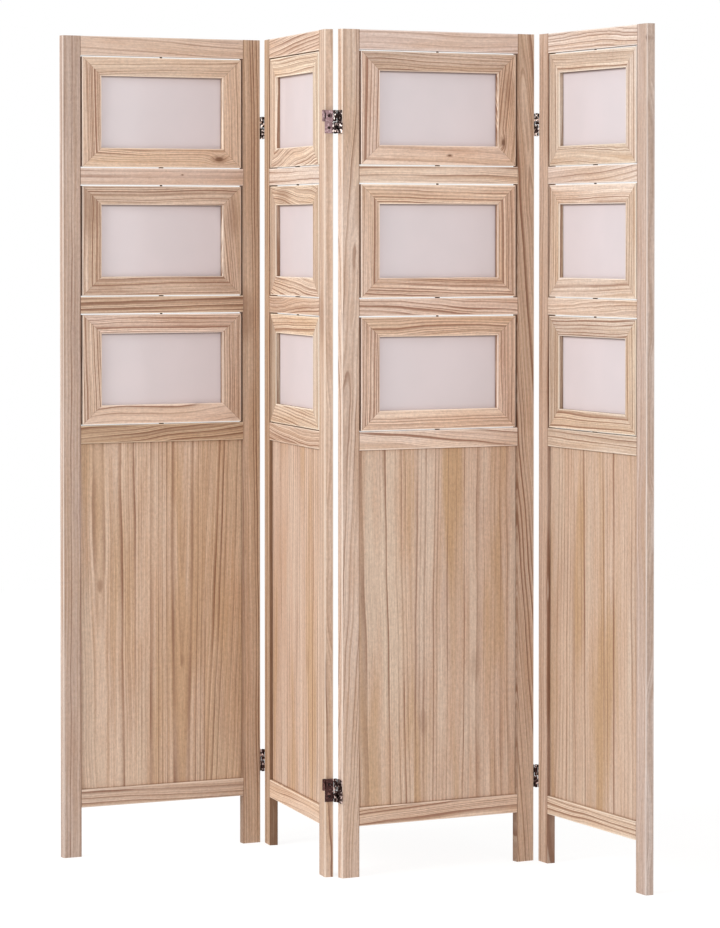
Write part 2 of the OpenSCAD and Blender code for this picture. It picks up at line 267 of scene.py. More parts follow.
# Spots: how ragged they are, how dark over their squared distance, and how brown
STAIN_RAGGED, STAIN_DARK, STAIN_BROWN = 2.6, (-0.2, 2.4, 1.0, 0.0), 0.6
KNOT_RAGGED, KNOT_RING, KNOT_BROWN = 0.8, (0.3, 3.0, 0.65, 0.0), 0.7
KNOT_EYE = (0.05, 0.7, 0.85, 0.0)
# How uneven rubbed edges with their painted highlight, dark joints and painted shade are, and how much of
# their colour they take
EDGE_CLOUD, EDGE_LEAST = 0.9, 0.25
RUB_AND_HIGHLIGHT_MOST, CREASE_AND_SHADE_MOST = 0.75, 0.8
# Fibres are rougher
ROUGH_FIBRE, ROUGH_LEAST = 0.16, 0.50

FIGURE_INPUTS = ("Log", "Drift", "Knot", "Stain", "Band", "Make", "Look", "Tint")


def wood_group():
    """The colour, roughness and relief of wood at a place along, across and into a member.

    Log is the pith's place across and into the member and a seed. Drift is how the pith
    leans across and dives into the member along its length, and the spacing of the rings.
    Knot and Stain give a place along and across, and a radius. Band is where across the
    member the rings are drawn strongest, how wide, and how much stronger; a negative value
    is weaker. Make is how wavy the rings are, how strong they are, and how strong the
    stain is. Look is how strongly the lines between the rings, the broad bands and the
    mottling show. Tint multiplies the colour. Edge is 1 on a rubbed edge with a painted
    highlight, and negative in a dark joint and in painted shade in a recess.
    """
    tree = bpy.data.node_groups.new("wood_figure", "ShaderNodeTree")
    for name in ("Place", *FIGURE_INPUTS):
        tree.interface.new_socket(name, in_out="INPUT", socket_type="NodeSocketVector")
    tree.interface.new_socket("Edge", in_out="INPUT", socket_type="NodeSocketFloat")
    for name, kind in (("Color", "Color"), ("Roughness", "Float"), ("Height", "Float")):
        tree.interface.new_socket(name, in_out="OUTPUT", socket_type="NodeSocket" + kind)
    g = Graph(tree)
    given = g.node("NodeGroupInput").outputs
    place = g.split(given["Place"])
    log, drift = g.split(given["Log"]), g.split(given["Drift"])
    knot, stain = g.split(given["Knot"]), g.split(given["Stain"])
    band = g.split(given["Band"])
    waviness, strength, stain_strength = g.split(given["Make"])
    fine, broad, mottled = g.split(given["Look"])

    seed = log[2]
    seeded = g.join(g.math("MULTIPLY_ADD", seed, SEED_STEP, place[0]), place[1], place[2])
    slow, ripple = g.field(seeded, SLOW), g.field(seeded, RIPPLE)
    wave = g.math("ADD", g.swing(slow, SLOW_RINGS), g.swing(ripple, RIPPLE_RINGS))
    wave = g.math("MULTIPLY", wave, waviness)
    knot_off = blob(g, place, knot, KNOT_STRETCH)
    lean_off = g.math("MULTIPLY", drift[0], place[0])
    rings = ring_count(g, place, log, drift, lean_off, knot[2], knot_off, wave)
    shown = emphasis(g, place[1], lean_off, band, strength, seeded)
    late = g.math("MULTIPLY", late_wood(g, rings, seed, fine), shown)

    fibre, cloud = g.field(seeded, FIBRE), g.field(seeded, CLOUD)
    pores = g.smooth(g.field(seeded, PORES), *PORE_RAMP)
    streak_across = g.math("MULTIPLY", rings, STREAKS_PER_RING)
    streak_along = g.math("MULTIPLY", place[0], STREAKS_ALONG)
    streak = g.noise(g.join(streak_across, streak_along, seed), 1.0, STREAK_DETAIL, STREAK_ROUGHNESS)

    color = body_color(g, streak, cloud, g.field(seeded, WIDE), fine, broad)
    color = lined(g, color, late, fibre, pores)
    light = g.math("MULTIPLY_ADD", g.swing(g.field(seeded, MOTTLE), 1.0), mottled, 1.0)
    color = g.mix_color(1.0, color, g.join(light, light, light), "MULTIPLY")
    color = with_stain(g, color, blob(g, place, stain, STAIN_STRETCH), stain_strength, streak, cloud)
    color = with_knot(g, color, knot_off, fibre)
    color = worn_and_painted_light(g, color, given["Edge"], cloud)
    color = g.mix_color(1.0, color, given["Tint"], "MULTIPLY")

    result = g.node("NodeGroupOutput").inputs
    g.put(result["Color"], color)
    g.put(result["Roughness"], g.math("MULTIPLY_ADD", fibre, ROUGH_FIBRE, ROUGH_LEAST))
    g.put(result["Height"], g.math("MULTIPLY_ADD", pores, PORE_DEPTH, fibre))
    return tree


def blob(g, place, spot, stretch):
    """The squared distance from a spot that is longer along the grain, in its radii."""
    along, across, radius = spot
    x = g.math("DIVIDE", g.math("SUBTRACT", place[0], along), g.math("MULTIPLY", radius, stretch))
    y = g.math("DIVIDE", g.math("SUBTRACT", place[1], across), radius)
    return g.math("ADD", g.math("MULTIPLY", x, x), g.math("MULTIPLY", y, y))


def ring_count(g, place, log, drift, lean_off, knot_radius, knot_off, wave):
    """How many rings lie between the pith and a place, with the fraction of the last one."""
    off_across = g.math("SUBTRACT", place[1], g.math("ADD", lean_off, log[0]))
    off_deep = g.math("SUBTRACT", place[2], g.math("MULTIPLY_ADD", drift[1], place[0], log[1]))
    off = g.join(off_across, off_deep, 0.0)
    radius = g.node("ShaderNodeVectorMath", {0: off}, operation="LENGTH").outputs["Value"]
    swell = g.math("EXPONENT", g.math("MULTIPLY", knot_off, KNOT_FALL))
    radius = g.math("MULTIPLY_ADD", g.math("MULTIPLY", swell, knot_radius), KNOT_SWELL, radius)
    rings = g.math("ADD", g.math("DIVIDE", radius, drift[2]), wave)
    uneven = g.noise(g.join(g.math("MULTIPLY", rings, UNEVEN_PER_RING), log[2], 0.0), 1.0, 1.0)
    return g.math("MULTIPLY_ADD", uneven, UNEVEN_RINGS, rings)


def late_wood(g, rings, seed, fine):
    """How dark a ring is: it darkens slowly towards its late wood and ends sharply."""
    phase = g.math("FRACT", rings)
    rise = g.math("POWER", g.smooth(phase, *LATE_RISE), LATE_CURVE)
    late = g.math("MULTIPLY", rise, g.smooth(phase, *LATE_END))
    number = g.math("ADD", g.math("FLOOR", rings), seed)
    weight = g.node("ShaderNodeTexWhiteNoise", {"W": number}, noise_dimensions="1D").outputs[0]
    late = g.math("MULTIPLY", late, g.math("ADD", weight, LATE_LEAST))
    inner = g.math("FRACT", g.math("MULTIPLY", rings, FINE_PER_RING))
    faint = g.math("MULTIPLY", g.smooth(inner, *FINE_RISE), g.smooth(inner, *FINE_END))
    return g.math("MAXIMUM", late, g.math("MULTIPLY", faint, fine))


def emphasis(g, across, lean_off, band, strength, seeded):
    """How strongly the rings show: by the band, and fading and returning along the member."""
    off = g.math("SUBTRACT", across, g.math("ADD", lean_off, band[0]))
    off = g.math("DIVIDE", off, band[1])
    in_band = g.math("EXPONENT", g.math("MULTIPLY", g.math("MULTIPLY", off, off), -1.0))
    fade = g.smooth(g.field(seeded, FADE), *FADE_RAMP)
    return g.math("MULTIPLY", fade, g.math("MULTIPLY_ADD", in_band, band[2], strength))


def body_color(g, streak, cloud, wide, fine, broad):
    """The wood's colour between its lines."""
    streaked = g.math("MULTIPLY_ADD", g.smooth(streak, *STREAK_RAMP), fine, 0.5)
    color = g.mix_color(streaked, PALE, TAN)
    color = g.mix_color(g.smooth(cloud, *CLOUD_WARM), color, WARM)
    color = g.mix_color(g.smooth(cloud, *CLOUD_ASH), color, ASH)
    color = g.mix_color(g.math("MULTIPLY", g.smooth(wide, *WIDE_GOLD), broad), color, GOLD)
    return g.mix_color(g.math("MULTIPLY", g.smooth(wide, *WIDE_MILK), broad), color, MILK)


def lined(g, color, late, fibre, pores):
    """A colour with the lines of the rings, the fibres and the pores."""
    cover = g.math("MINIMUM", g.math("MULTIPLY", late, LINE_COVER), LINE_MOST)
    color = g.mix_color(cover, color, LINE)
    color = g.mix_color(g.smooth(fibre, *FIBRE_DARK), color, LINE)
    return g.mix_color(g.math("MULTIPLY", pores, PORE_DARK), color, LINE)


def with_stain(g, color, stain_off, strength, streak, cloud):
    """A colour with a soft brown stain."""
    ragged = g.math("MULTIPLY_ADD", g.math("ADD", streak, cloud), STAIN_RAGGED, -STAIN_RAGGED)
    stain_off = g.math("ADD", stain_off, ragged)
    stained = g.math("MULTIPLY", g.smooth(stain_off, *STAIN_DARK), strength)
    return g.mix_color(stained, color, g.mix_color(STAIN_BROWN, color, BROWN))


def with_knot(g, color, knot_off, fibre):
    """A colour with a knot, which is a dark eye in a brown ring."""
    knot_off = g.math("ADD", knot_off, g.swing(fibre, KNOT_RAGGED))
    color = g.mix_color(g.smooth(knot_off, *KNOT_RING), color, g.mix_color(KNOT_BROWN, color, BROWN))
    return g.mix_color(g.smooth(knot_off, *KNOT_EYE), color, CORE)


def worn_and_painted_light(g, color, edge, cloud):
    """A colour that is paler where eased edges are rubbed and given a painted highlight, and darker in dark
    joints and in painted shade in recesses.
    """
    uneven = g.math("MULTIPLY_ADD", cloud, EDGE_CLOUD, EDGE_LEAST)
    rub_and_highlight = g.math("MULTIPLY", edge, uneven, clamp=True)
    crease_and_shade = g.math("MULTIPLY", g.math("MULTIPLY", edge, -1.0), uneven, clamp=True)
    color = g.mix_color(rub_and_highlight, color, g.mix_color(RUB_AND_HIGHLIGHT_MOST, color, RUBBED_AND_HIGHLIGHT))
    return g.mix_color(crease_and_shade, color, g.mix_color(CREASE_AND_SHADE_MOST, color, CREASE_AND_SHADE))


WOOD = wood_group()
# A spot that no member reaches
NOWHERE = (9.0, 9.0, 0.01)


@dataclass
class Figure:
    """How one wooden member is cut from its log, in metres and metres per metre."""
    pith: tuple
    drift: tuple
    ring: float
    seed: float
    tint: tuple
    knot: tuple = NOWHERE
    stain: tuple = NOWHERE
    band: tuple = (0.0, 1.0, 0.0)
    wave: float = 0.6
    strength: float = 0.85
    stained: float = 0.6
    look: tuple = (1.0, 0.3, 0.55)

    def vectors(self):
        """The inputs of the wood group, in the order of FIGURE_INPUTS."""
        return ((*self.pith, self.seed), (*self.drift, self.ring), self.knot, self.stain, self.band,
                (self.wave, self.strength, self.stained), self.look, self.tint)


# ---------------------------------------------------------------- materials of the wooden nodes

# An eased edge is rubbed and given a painted highlight this far, and a dark joint or a recess in painted
# shade is darkened as far
EDGE_CORE, EDGE_REACH = 0.0008, 0.0030
MITRE_REACH, MITRE_DARK = 0.0012, 0.6
# The reveal is the skin of the opening's sides, and painted shade darkens it down to the panes
REVEAL_SKIN, REVEAL_DEPTH = 0.0002, 0.0095
REVEAL_SHADE = (0.1, 0.75)
# How dark the painted shade is in each panel where its stiles and board meet
GROOVE_SHADE = {1: 0.9, 2: 1.5, 3: 0.9, 4: 0.8}
WOOD_GLOSS = 0.35
BUMP_STRENGTH, WOOD_RELIEF = 0.3, 0.0004


def chosen(g, factors, figures):
    """The figures' vectors, chosen by levels of 0-or-1 factors: a level joins its pairs."""
    rows = [figure.vectors() for figure in figures]
    for level in factors:
        pairs = [[g.mix_vector(factor, a, b) for a, b in zip(rows[2 * i], rows[2 * i + 1])]
                 for i, factor in enumerate(level)]
        rows = pairs + rows[2 * len(level):]
    return rows[0]


def step_value(g, cuts, values):
    """The first value, replaced by each next one where its cut is 1."""
    result = values[0]
    for cut, value in zip(cuts, values[1:]):
        result = g.mix(cut, result, value)
    return result


def arris(g, face, side):
    """1 at an eased edge, which is rubbed and given a painted highlight, falling to 0 a few millimetres away
    on the face and on the side.

    face and side are the distances to the two surfaces that meet there.
    """
    return g.smooth(g.math("MAXIMUM", face, side), EDGE_CORE, EDGE_REACH, 1.0, 0.0)


def finish_wood(g, material, place, vectors, edge):
    """The figure and the shader of a wooden material."""
    inputs = {"Place": place, "Edge": edge, **dict(zip(FIGURE_INPUTS, vectors))}
    wood = g.node("ShaderNodeGroup", inputs, node_tree=WOOD).outputs
    bump = g.node("ShaderNodeBump", {
        "Strength": BUMP_STRENGTH, "Distance": WOOD_RELIEF, "Height": wood["Height"]})
    shader = g.node("ShaderNodeBsdfPrincipled", {
        "Base Color": wood["Color"], "Roughness": wood["Roughness"],
        "Normal": bump.outputs[0], "Specular IOR Level": WOOD_GLOSS})
    g.node("ShaderNodeOutputMaterial", {"Surface": shader.outputs[0]})
    return material


def stile_wood(panel, side, figure):
    """A stile, rubbed with a painted highlight at its outer edges, and darkened by painted shade where the
    board and the rails meet it.
    """
    node = f"panel_{panel.number}_{side}_stile"
    u_low, u_high = panel.extent(node)[0]
    material, g = new_material(f"wood_{node}")
    u, v, z = panel_place(g, panel)
    place = g.join(z, g.math("SUBTRACT", u, (u_low + u_high) / 2), v)
    from_low, from_high = g.math("SUBTRACT", u, u_low), g.math("SUBTRACT", u_high, u)
    outer, inner = (from_low, from_high) if side == "left" else (from_high, from_low)
    # Painted highlight on the outer eased edges, painted shade on the inner side where the board and rails
    # meet
    edge = g.math("SUBTRACT", arris(g, nearest(g, v, panel.face_v, panel.back_v), outer),
                  g.smooth(inner, EDGE_CORE, EDGE_REACH, GROOVE_SHADE[panel.number], 0.0))
    return finish_wood(g, material, place, figure.vectors(), edge)


def rails_wood(panel, figures):
    """Five rails in one node, told apart by height."""
    spans = panel.rails
    material, g = new_material(f"wood_panel_{panel.number}_rails")
    u, v, z = panel_place(g, panel)
    cuts = [g.math("GREATER_THAN", z, (below[1] + above[0]) / 2) for below, above in zip(spans, spans[1:])]
    low_edge = step_value(g, cuts, [low for low, _ in spans])
    height = step_value(g, cuts, [high - low for low, high in spans])
    from_low = g.math("SUBTRACT", z, low_edge)
    place = g.join(g.math("SUBTRACT", u, panel.width / 2), g.math("MULTIPLY_ADD", height, -0.5, from_low), v)
    edge = arris(g, nearest(g, v, panel.face_v, panel.back_v), nearest(g, from_low, 0.0, height))
    return finish_wood(g, material, place, chosen(g, [[cut] for cut in cuts], figures), edge)


def board_wood(panel, seams, figures):
    """A board glued up from staves, told apart along u, and darkened by painted shade where it enters its
    grooves.
    """
    material, g = new_material(f"wood_panel_{panel.number}_board")
    u, v, z = panel_place(g, panel)
    cuts = [[g.math("GREATER_THAN", u, seam)] for seam in seams]
    place = g.join(z, g.math("SUBTRACT", u, panel.width / 2), v)
    to_wood = g.math("MINIMUM", nearest(g, u, panel.stile_w, panel.width - panel.stile_w),
                     nearest(g, z, panel.rails[0][1], panel.rails[1][0]))
    # Painted shade along the board's edges, where it enters the stiles and rails
    groove_shade = g.smooth(to_wood, 0.0, EDGE_REACH, -GROOVE_SHADE[panel.number], 0.0)
    return finish_wood(g, material, place, chosen(g, cuts, figures), groove_shade)


def frame_wood(panel, row, figures):
    """Four mitred members, in the order of MEMBER_PARTS.

    Across is measured from the middle of a member, positive towards the pane; along
    runs to the right or up.
    """
    node = f"frame_{panel.number}_{row}_members"
    (u_low, u_high), (v_low, v_high), (z_low, z_high) = panel.extent(node)
    side_w = inner_reach(panel.local(node)[:, 0])
    end_h = inner_reach(panel.local(node)[:, 2])
    material, g = new_material(f"wood_{node}")
    u, v, z = panel_place(g, panel)
    from_mid_u = g.math("SUBTRACT", u, (u_low + u_high) / 2)
    from_mid_z = g.math("SUBTRACT", z, (z_low + z_high) / 2)
    to_side = g.math("SUBTRACT", (u_high - u_low) / 2, g.math("ABSOLUTE", from_mid_u))
    to_end = g.math("SUBTRACT", (z_high - z_low) / 2, g.math("ABSOLUTE", from_mid_z))
    past_mitre = g.math("MULTIPLY_ADD", to_side, -end_h / side_w, to_end)
    upright = g.math("GREATER_THAN", past_mitre, 0.0)
    lower = g.math("LESS_THAN", from_mid_z, 0.0)
    right = g.math("GREATER_THAN", from_mid_u, 0.0)
    outer = g.mix(upright, to_end, to_side)
    width = g.mix(upright, end_h, side_w)
    along = g.mix(upright, from_mid_u, from_mid_z)
    place = g.join(along, g.math("MULTIPLY_ADD", width, -0.5, outer), v)
    mitre = g.smooth(g.math("ABSOLUTE", past_mitre), 0.0, MITRE_REACH, MITRE_DARK, 0.0)
    # Painted shade darkens the reveal towards the pane; the mitre is a dark joint
    on_reveal = g.math("GREATER_THAN", outer, g.math("SUBTRACT", width, REVEAL_SKIN))
    reveal_shade = g.math("MULTIPLY", on_reveal,
                    g.smooth(v, v_low + EDGE_REACH, v_low + REVEAL_DEPTH, *REVEAL_SHADE))
    edge = g.math("SUBTRACT", arris(g, nearest(g, v, v_low, v_high), nearest(g, outer, 0.0, width)),
                  g.math("MAXIMUM", mitre, reveal_shade))
    return finish_wood(g, material, place, chosen(g, [[lower, right], [upright]], figures), edge)


# ---------------------------------------------------------------- the members' figures

class Cut(NamedTuple):
    """How members of one kind are cut from their logs.

    The reach of the pith, the rings' spacing, how much the pith may lean and dive, and
    what the figures of this kind share.
    """
    reach: float
    ring: float
    slope: float
    shared: dict


STILE_CUT = Cut(0.07, 0.0095, 0.008, dict(wave=0.8, strength=0.7))
RAIL_CUT = Cut(0.06, 0.0085, 0.05, dict(strength=0.85))
STAVE_CUT = Cut(0.24, 0.0090, 0.010, dict(wave=0.28, strength=0.45, look=(0.5, 0.8, 0.6)))
MEMBER_CUT = Cut(0.06, 0.0070, 0.03, dict(strength=1.1))

# What a seed decides, between two limits: the pith's place in reaches, the rings' spacing
# as a share of the kind's, the noise, and how light and how warm the member is
PITH_BESIDE, PITH_BEHIND = (0.8, 1.8), (0.4, 1.1)
RING_SHARE = (0.85, 1.25)
NOISE_SEED = (0.0, 90.0)
LIGHTNESS, WARMTH = (0.97, 1.10), (-0.03, 0.05)
# How much redder a warm tint is, as a share of how much less blue it is
RED_SHARE = 0.35
TINT_MOST = 1.4


def tone(light, warm=0.0, green=0.0):
    """A tint: how light, how far from grey towards brown, and how much greener."""
    return (light * (1.0 + RED_SHARE * warm), light * (1.0 + green), light * (1.0 - warm))


def tinted(figure, tint):
    """A figure with its own tint and a panel's."""
    return replace(figure, tint=tuple(min(a * b, TINT_MOST) for a, b in zip(figure.tint, tint)))


def random_figure(rng, cut, changes):
    """A seeded figure: the pith lies to one side of the member and a little behind it."""
    side = rng.choice((-1, 1))
    drawn = dict(
        pith=(side * rng.uniform(*PITH_BESIDE) * cut.reach, rng.uniform(*PITH_BEHIND) * cut.reach),
        drift=(rng.uniform(-cut.slope, cut.slope), rng.uniform(-cut.slope, cut.slope)),
        ring=cut.ring * rng.uniform(*RING_SHARE),
        seed=rng.uniform(*NOISE_SEED),
        tint=tone(rng.uniform(*LIGHTNESS), rng.uniform(*WARMTH)))
    return Figure(**(drawn | cut.shared | changes))


def give(node, material):
    """Puts a material on a CAD node."""
    NODES[node].data.materials.clear()
    NODES[node].data.materials.append(material)


def dress_panel(panel, rng):
    """Cuts a panel's wooden members from their logs, always in the same order."""
    number = panel.number
    for side in SIDES:
        figure = random_figure(rng, STILE_CUT, STILES[number, side])
        give(f"panel_{number}_{side}_stile", stile_wood(panel, side, figure))
    rails = [random_figure(rng, RAIL_CUT, RAILS.get((number, i), {})) for i in range(RAIL_COUNT)]
    rails = [tinted(figure, RAIL_TINT_AND_LIGHT[number]) for figure in rails]
    give(f"panel_{number}_rails", rails_wood(panel, rails))
    seams = SEAMS[number]
    staves = [random_figure(rng, STAVE_CUT, BOARDS[number, i]) for i in range(len(seams) + 1)]
    give(f"panel_{number}_board", board_wood(panel, seams, staves))
    for row in ROWS:
        members = [random_figure(rng, MEMBER_CUT, MEMBERS.get((number, row, part), {}))
                   for part in MEMBER_PARTS]
        members = [tinted(figure, FRAME_TINT_AND_LIGHT[number]) for figure in members]
        give(f"frame_{number}_{row}_members", frame_wood(panel, row, members))


# How the light wood of the frames and rails differs from panel to panel: partly the wood's own tone, partly
# painted light that makes each panel lighter or darker as light falls on it
FRAME_TINT_AND_LIGHT = {
    1: tone(1.09, -0.02, 0.015),
    2: tone(1.18, -0.06, 0.045),
    3: tone(1.15, -0.02),
    4: tone(1.11, -0.08, 0.05),
}
RAIL_TINT_AND_LIGHT = {
    1: tone(1.03, -0.01),
    2: tone(1.12, -0.02, 0.01),
    3: tone(1.14, -0.03),
    4: tone(1.10, -0.09, 0.04),
}

# Figures that stand out in a member; the rest stay random. Along a stile or a board is
# the height above the floor, and rails count from the floor up.
STILES = {
    (1, "left"): dict(tint=tone(0.88, -0.06), pith=(0.06, 0.05), ring=0.0075, wave=0.45, strength=0.6),
    (1, "right"): dict(tint=tone(0.98, 0.04), strength=0.75, pith=(-0.07, 0.05), ring=0.0055, wave=0.5,
                       stain=(1.12, -0.015, 0.017), stained=0.75),
    (2, "left"): dict(tint=tone(0.91, 0.10)),
    (2, "right"): dict(tint=tone(0.99, 0.0), stain=(1.12, -0.004, 0.018), stained=0.7, strength=0.5,
                       wave=0.4),
    (3, "left"): dict(tint=tone(1.04, -0.03), strength=0.42, pith=(-0.060, 0.020), drift=(0.055, 0.004),
                      ring=0.0085, wave=0.7),
    (3, "right"): dict(tint=tone(1.0, 0.02), pith=(0.128, 0.012), drift=(-0.085, 0.004), ring=0.008,
                       wave=0.7),
    (4, "left"): dict(tint=tone(1.02, -0.02), strength=0.6, wave=0.6),
    (4, "right"): dict(tint=tone(0.88, -0.09), strength=0.35, knot=(1.672, 0.017, 0.0025)),
}
RAILS = {
    (1, 0): dict(strength=0.45, tint=tone(0.95, 0.0), wave=0.4),
    (1, 1): dict(drift=(0.10, 0.03), ring=0.010, strength=1.05, wave=1.0, tint=tone(0.84, 0.12)),
    (1, 2): dict(strength=1.3, wave=0.35, drift=(0.02, 0.0), ring=0.0135, band=(-0.012, 0.006, 0.8),
                 tint=tone(0.93, 0.06)),
    (1, 3): dict(knot=(0.045, 0.004, 0.0015), tint=tone(1.06, -0.06), strength=0.35, wave=0.3,
                 look=(0.6, 0.3, 0.5)),
    (1, 4): dict(tint=tone(1.05, -0.02), strength=0.32, wave=0.4, drift=(-0.05, 0.0), look=(0.7, 0.3, 0.5)),
    (2, 1): dict(wave=1.3, strength=1.1, tint=tone(0.97, 0.02)),
    (2, 2): dict(wave=1.3, strength=0.95),
    (2, 3): dict(strength=0.6, tint=tone(1.14, -0.20)),
    (3, 0): dict(strength=1.0),
    (3, 1): dict(drift=(-0.07, 0.02), strength=0.55, band=(0.002, 0.004, 0.6), tint=tone(1.15, -0.12)),
    (3, 2): dict(band=(-0.004, 0.004, 1.4), strength=0.6, wave=0.9, tint=tone(1.08, -0.02)),
    (3, 3): dict(strength=0.8, tint=tone(1.19, -0.14)),
    (3, 4): dict(tint=tone(1.02, -0.08), strength=0.35, look=(0.7, 0.3, 0.5)),
    (4, 1): dict(strength=0.6, tint=tone(0.93, 0.03)),
    (4, 2): dict(wave=1.1),
    (4, 3): dict(strength=0.5, tint=tone(1.07, -0.06)),
    (4, 4): dict(wave=1.2, strength=0.7, tint=tone(1.10, -0.05)),
}
BOARDS = {
    (1, 0): dict(pith=(-0.133, 0.0324), drift=(-0.014, -0.022), ring=0.017, wave=0.22, strength=0.48,
                 look=(0.95, 0.6, 0.6), band=(-0.133, 0.011, -0.44), stain=(0.560, -0.141, 0.005),
                 stained=0.9, tint=tone(0.99, 0.02)),
    (1, 1): dict(pith=(0.043, 0.0280), drift=(0.006, -0.022), ring=0.012, wave=0.10, strength=0.48,
                 look=(0.9, 0.6, 0.6), stain=(0.395, 0.046, 0.005), stained=0.9, tint=tone(0.99, 0.03)),
    (1, 2): dict(pith=(-0.012, 0.076), drift=(0.03, -0.04), ring=0.0105, strength=0.5,
                 look=(0.9, 0.6, 0.6), tint=tone(0.97, 0.09)),
    (2, 0): dict(ring=0.0125, strength=0.8, look=(0.6, 0.8, 0.6), tint=tone(1.06, -0.01)),
    (2, 1): dict(ring=0.0125, strength=0.8, look=(0.6, 0.8, 0.6), tint=tone(1.07, -0.01)),
    (2, 2): dict(ring=0.0125, strength=0.8, look=(0.6, 0.8, 0.6), stain=(0.42, 0.080, 0.010), stained=0.4,
                 tint=tone(1.05, 0.0)),
    (3, 0): dict(drift=(-0.02, 0.0), tint=tone(1.04, 0.02), strength=0.5, look=(0.7, 1.0, 0.6)),
    (3, 1): dict(stain=(0.30, -0.034, 0.008), stained=0.45, tint=tone(1.03, -0.01), look=(0.7, 1.0, 0.6)),
    (3, 2): dict(stain=(0.41, 0.087, 0.010), stained=0.45, tint=tone(1.04, -0.01), look=(0.7, 1.0, 0.6)),
    (4, 0): dict(tint=tone(0.91, 0.02), look=(0.7, 0.9, 0.6)),
    (4, 1): dict(tint=tone(0.91, 0.02), look=(0.7, 0.9, 0.6)),
    (4, 2): dict(tint=tone(0.94, 0.0), look=(0.7, 0.9, 0.6)),
}
MEMBERS = {
    (1, "top", "top"): dict(strength=0.5, wave=0.8),
    (1, "top", "bottom"): dict(knot=(0.130, -0.002, 0.007), band=(0.012, 0.006, 0.7), strength=0.7,
                               wave=1.3),
    (1, "top", "left"): dict(strength=1.1, band=(0.006, 0.014, 1.2), ring=0.0058, wave=0.35,
                             drift=(-0.02, 0.0), tint=tone(1.10, 0.0)),
    (1, "top", "right"): dict(strength=0.45),
    (1, "middle", "top"): dict(strength=1.2, wave=0.7, tint=tone(0.95, 0.0)),
    (1, "middle", "bottom"): dict(strength=1.4, wave=0.5, drift=(0.015, 0.0), band=(-0.002, 0.012, 0.4)),
    (1, "middle", "left"): dict(stain=(0.070, -0.010, 0.020), stained=0.8, wave=1.2,
                                tint=tone(0.99, -0.01)),
    (1, "middle", "right"): dict(stain=(0.045, -0.004, 0.014), drift=(0.10, 0.0), strength=0.8),
    (1, "low", "top"): dict(strength=1.2, tint=tone(1.14, -0.07)),
    (1, "low", "bottom"): dict(pith=(-0.055, 0.020), drift=(0.06, 0.05), ring=0.013, strength=0.9, wave=0.9,
                               look=(0.5, 0.3, 0.5), tint=tone(1.10, -0.04)),
    (2, "top", "top"): dict(tint=tone(1.17, -0.14)),
    (2, "top", "bottom"): dict(drift=(0.13, 0.02), ring=0.009, wave=1.2, strength=1.1),
    (2, "top", "right"): dict(tint=tone(1.12, -0.13)),
    (2, "middle", "top"): dict(drift=(0.10, 0.03), ring=0.009, wave=1.3, strength=1.1,
                               stain=(-0.08, 0.0, 0.016)),
    (2, "middle", "bottom"): dict(drift=(-0.08, 0.0), wave=1.3, strength=1.1),
    (2, "middle", "left"): dict(tint=tone(0.96, 0.0)),
    (2, "low", "bottom"): dict(drift=(-0.07, 0.0), wave=1.3, strength=1.1, tint=tone(1.13, -0.05)),
    (2, "low", "left"): dict(tint=tone(0.78, 0.03)),
    (2, "low", "right"): dict(tint=tone(1.09, -0.13)),
    (3, "top", "top"): dict(tint=tone(0.89, 0.02), strength=0.9, wave=1.2),
    (3, "top", "bottom"): dict(knot=(0.024, 0.0, 0.003), strength=0.4, tint=tone(1.08, 0.0)),
    (3, "top", "left"): dict(strength=0.95, band=(-0.004, 0.012, 0.3), wave=0.35),
    (3, "top", "right"): dict(stain=(0.040, -0.006, 0.012), stained=0.6, knot=(-0.066, 0.008, 0.006),
                              drift=(-0.12, 0.0), strength=1.25, tint=tone(1.03, 0.04)),
    (3, "middle", "top"): dict(strength=0.75, band=(0.004, 0.012, 0.2), wave=0.7, tint=tone(1.21, -0.09)),
    (3, "middle", "bottom"): dict(strength=1.6, band=(0.004, 0.012, 0.2), wave=0.5, tint=tone(1.08, 0.01)),
    (3, "middle", "left"): dict(strength=0.8, band=(0.010, 0.007, 0.6), wave=0.4),
    (3, "middle", "right"): dict(strength=1.3, band=(0.006, 0.010, 0.8), wave=0.4, tint=tone(1.05, 0.0)),
    (3, "low", "bottom"): dict(tint=tone(1.20, -0.05)),
    (3, "low", "left"): dict(strength=1.8, wave=0.5, tint=tone(1.06, -0.01)),
    (3, "low", "right"): dict(strength=1.3, wave=1.0, tint=tone(1.12, -0.03)),
    (4, "top", "bottom"): dict(band=(0.012, 0.006, 0.9), wave=1.6, strength=0.4),
    (4, "top", "left"): dict(strength=0.8, tint=tone(0.97, 0.0)),
    (4, "top", "right"): dict(tint=tone(1.05, -0.04)),
    (4, "middle", "top"): dict(band=(0.008, 0.010, 0.6), wave=1.2, strength=0.6, tint=tone(1.12, -0.04)),
    (4, "middle", "bottom"): dict(strength=0.6, tint=tone(1.06, -0.04)),
    (4, "low", "left"): dict(tint=tone(0.93, 0.02)),
}
# Where each board's staves meet, along u
SEAMS = {
    1: (0.165, 0.325),
    2: (0.150, 0.290),
    3: (0.170, 0.300),
    4: (0.140, 0.270),
}
FIGURE_SEED = 11

rng = random.Random(FIGURE_SEED)
panels = [Panel(number) for number in PANELS]
for panel in panels:
    dress_panel(panel, rng)


# ---------------------------------------------------------------- panes and metal

# The card behind the pane: two tints in soft patches, a fine tooth, and the frame's shade
# along the window's top and sides
CARD, CARD_PATCH = srgb(225, 215, 218), srgb(221, 212, 215)
CARD_PATCHES, PATCH_RAMP = 9.0, (0.3, 0.7)
TOOTH, TOOTH_GRAINS, TOOTH_ROUGHNESS, TOOTH_DARK = srgb(190, 180, 182), 1400.0, 0.6, 0.06
SHADE = srgb(110, 88, 80)
TOP_SHADE, SIDE_SHADE = (0.0, 0.005, 0.75, 0.0), (0.0, 0.003, 0.5, 0.0)
